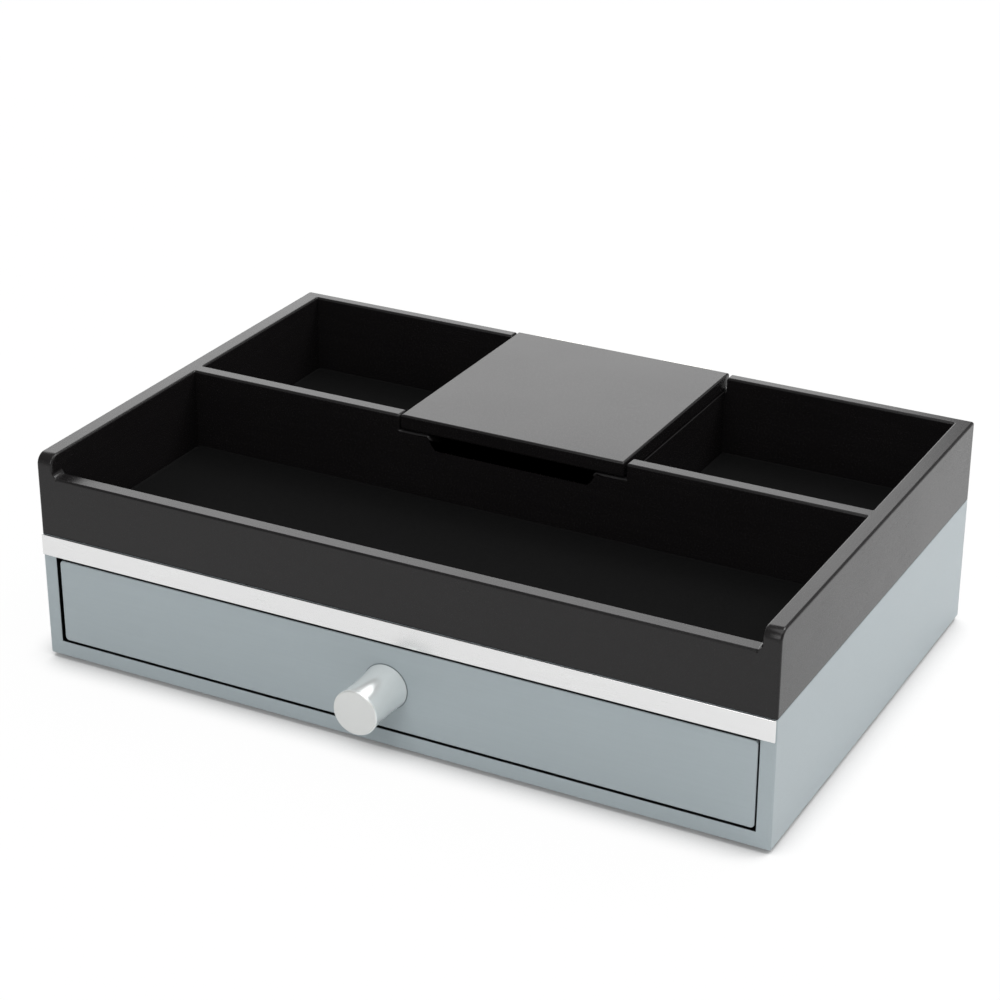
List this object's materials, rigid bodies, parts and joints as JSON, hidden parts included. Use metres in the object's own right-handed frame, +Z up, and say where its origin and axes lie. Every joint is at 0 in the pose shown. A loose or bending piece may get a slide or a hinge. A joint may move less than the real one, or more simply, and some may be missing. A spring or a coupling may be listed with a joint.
{
  "type": "valet organizer",
  "caption": "Black lacquered desk valet tray with open compartments and a hinged flap lid, standing on a grey case with a full-width drawer and a turned metal knob.",
  "frame": {"origin": "on the table, under the middle of the whole object's box, knob and hinges included", "axes": "+X to the right as seen from the front, +Y from the front to the back, +Z up"},
  "size_m": [0.305, 0.2247, 0.0873],
  "materials": {
    "black_lacquer": "satin black lacquer",
    "grey_lacquer": "satin blue-grey lacquer",
    "drawer_wood": "sealed bare wood",
    "bright_trim": "polished",
    "satin_aluminium": "satin anodized",
    "hinge_steel": "nickel plated",
    "felt": "black felt",
    "foot_pad": "matte"
  },
  "bodies": {
    "box": {"case_left_side": "grey_lacquer", "case_right_side": "grey_lacquer", "case_bottom": "grey_lacquer", "case_back": "grey_lacquer", "case_top_rail": "grey_lacquer", "trim_strip": "bright_trim", "foot_front_left": "foot_pad", "foot_front_right": "foot_pad", "foot_rear_left": "foot_pad", "foot_rear_right": "foot_pad", "tray_left_side": "black_lacquer", "tray_right_side": "black_lacquer", "tray_front": "black_lacquer", "tray_back": "black_lacquer", "tray_floor": "black_lacquer", "tray_divider": "black_lacquer", "left_partition": "black_lacquer", "right_partition": "black_lacquer", "front_liner": "felt", "left_liner": "felt", "centre_liner": "felt", "right_liner": "felt", "left_wall_leaf": "hinge_steel", "right_wall_leaf": "hinge_steel", "left_hinge_pin": "hinge_steel", "right_hinge_pin": "hinge_steel", "wall_hinge_screws": "hinge_steel"},
    "flap": {"lid": "black_lacquer", "left_lid_leaf": "hinge_steel", "right_lid_leaf": "hinge_steel", "lid_hinge_screws": "hinge_steel"},
    "drawer": {"drawer_front": "grey_lacquer", "drawer_left_side": "drawer_wood", "drawer_right_side": "drawer_wood", "drawer_back": "drawer_wood", "drawer_bottom": "drawer_wood", "drawer_liner": "felt", "knob": "satin_aluminium", "knob_screw": "hinge_steel", "knob_washer": "hinge_steel"}
  },
  "joints": [
    {"name": "lid_hinge", "type": "hinge", "parent": "box", "child": "flap", "pos_m": [0, 0.11035, 0.08085], "axis": [-1, 0, 0], "range_deg": [0, 100]},
    {"name": "drawer_slide", "type": "slide", "parent": "box", "child": "drawer", "axis": [0, -1, 0], "range_m": [0, 0.15]}
  ]
}
